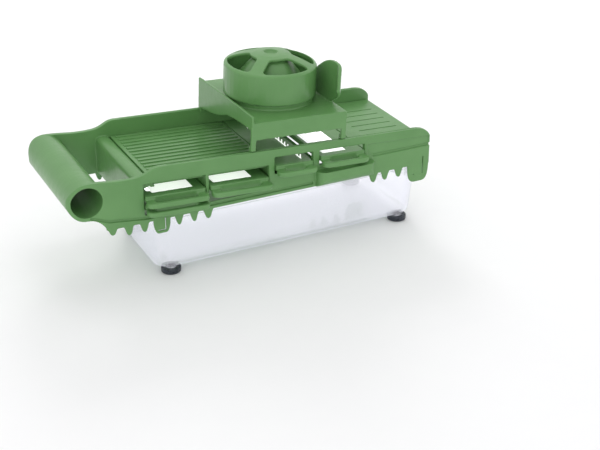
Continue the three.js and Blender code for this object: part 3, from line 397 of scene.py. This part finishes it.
def edged(node, width):
    """A CAD solid with a fine ground or moulded bevel on its sharp edges."""
    piece = copy_of(node, node + "_edged")
    work = bmesh.new()
    work.from_mesh(piece.data)
    bmesh.ops.remove_doubles(work, verts=work.verts, dist=WELD)
    flat, sharp_from = math.radians(FLAT_ANGLE), math.radians(SHARP_ANGLE)
    bmesh.ops.dissolve_limit(work, angle_limit=flat, verts=work.verts, edges=work.edges)
    sharp = [
        edge
        for edge in work.edges
        if len(edge.link_faces) == 2 and edge.calc_face_angle() > sharp_from
    ]
    bmesh.ops.bevel(
        work,
        geom=sharp,
        offset=width,
        segments=2,
        profile=0.6,
        affect="EDGES",
        clamp_overlap=True,
    )
    bmesh.ops.triangulate(work, faces=[f for f in work.faces if len(f.verts) > 4])
    work.to_mesh(piece.data)
    work.free()
    smooth_shading(piece)
    return piece


def make_mouldings():
    """The green mouldings: frame, deck plates, guard, knob, sleeve, trays and disc."""
    ribbed = green_plastic("sage_frame_plates")
    for node in ("infeed_ramp", "outfeed_deck"):
        stands_for(edged(node, PLATE_BEVEL), [node], BODY_OF[node], ribbed)
    loop_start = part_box("infeed_ramp")[0].y - LOOP_PLACE
    for nodes, slot, voxel, passes, keep in MOULDINGS:
        material = green_plastic("sage_" + slot)
        for node in nodes:
            front = loop_start if node in TRAYS else None
            piece = moulded(node, voxel, passes, keep, front)
            stands_for(piece, [node], BODY_OF[node], material)


def make_steel():
    """Blades and comb with ground edges, and the six spikes."""
    blade = steel_with_painted_glow("polished_strip_painted_glow", BLADE_ROUGH)
    spike = steel_with_painted_glow("drawn_wire_painted_glow", SPIKE_ROUGH)
    for node, body in BODY_OF.items():
        if node.endswith("_blade") or node == "julienne_comb":
            piece = edged(node, BLADE_BEVEL)
            stands_for(piece, [node], body, blade)
        elif node.startswith("spike_") and node != "spike_disc":
            piece = edged(node, SPIKE_BEVEL)
            stands_for(piece, [node], body, spike)


def make_container():
    """The clear container and its four rubber feet."""
    clear = clear_plastic()
    tub = edged("container", CONTAINER_BEVEL)
    stands_for(tub, ["container"], "container", clear)
    rubber = foot_rubber()
    for node, body in BODY_OF.items():
        if node.startswith("foot_"):
            foot = edged(node, FOOT_BEVEL)
            stands_for(foot, [node], body, rubber)


# ------------------------------------------------------------- camera and light
def make_camera():
    """The photo's camera, pitched down, without lens shift."""
    data = bpy.data.cameras.new("camera")
    data.lens = LENS
    data.sensor_width = SENSOR
    data.clip_end = 50
    camera = bpy.data.objects.new("camera", data)
    camera.location = CAMERA_PLACE
    yaw, pitch = math.radians(CAMERA_YAW), math.radians(CAMERA_PITCH)
    ahead = Vector(
        (
            math.sin(yaw) * math.cos(pitch),
            math.cos(yaw) * math.cos(pitch),
            -math.sin(pitch),
        )
    )
    camera.rotation_euler = ahead.to_track_quat("-Z", "Y").to_euler()
    bpy.context.scene.collection.objects.link(camera)
    bpy.context.scene.camera = camera


def area_light(name, place, size, power, mirrored):
    """A soft panel, which polished surfaces mirror only if asked."""
    data = bpy.data.lights.new(name, "AREA")
    data.shape = "RECTANGLE"
    data.size, data.size_y = size
    data.energy = power
    light = bpy.data.objects.new(name, data)
    light.location = place
    light.visible_glossy = mirrored
    aim = Vector(AIM) - Vector(place)
    light.rotation_euler = aim.to_track_quat("-Z", "Y").to_euler()
    bpy.context.scene.collection.objects.link(light)


def make_light():
    """An even white studio with three soft panels."""
    world = bpy.data.worlds.new("studio")
    world.use_nodes = True
    background = world.node_tree.nodes["Background"]
    background.inputs["Color"].default_value = (1, 1, 1, 1)
    background.inputs["Strength"].default_value = WORLD
    bpy.context.scene.world = world
    for panel in PANELS:
        area_light(*panel)


def make_floor():
    """A pale paper floor just under the feet."""
    mesh = bpy.data.meshes.new("floor")
    turns = ((-1, -1), (1, -1), (1, 1), (-1, 1))
    corners = [(FLOOR_REACH * x, FLOOR_REACH * y, 0) for x, y in turns]
    mesh.from_pydata(corners, [], [(0, 1, 2, 3)])
    floor = bpy.data.objects.new("floor", mesh)
    floor.location.z = CAD_LOW.z - FLOOR_DROP
    material, nodes, links, output = new_material("white_sweep")
    shader = nodes.new("ShaderNodeBsdfPrincipled")
    paper = object_noise(nodes, links, 40, 3)
    color = mix_color(nodes, links, paper, PAPER, PAPER_LIGHT)
    links.new(color, shader.inputs["Base Color"])
    shader.inputs["Roughness"].default_value = 0.55
    links.new(shader.outputs["BSDF"], output.inputs["Surface"])
    mesh.materials.append(material)
    bpy.context.scene.collection.objects.link(floor)


bpy.context.scene.view_settings.view_transform = "Standard"
make_camera()
make_light()
make_floor()
make_mouldings()
make_steel()
make_container()
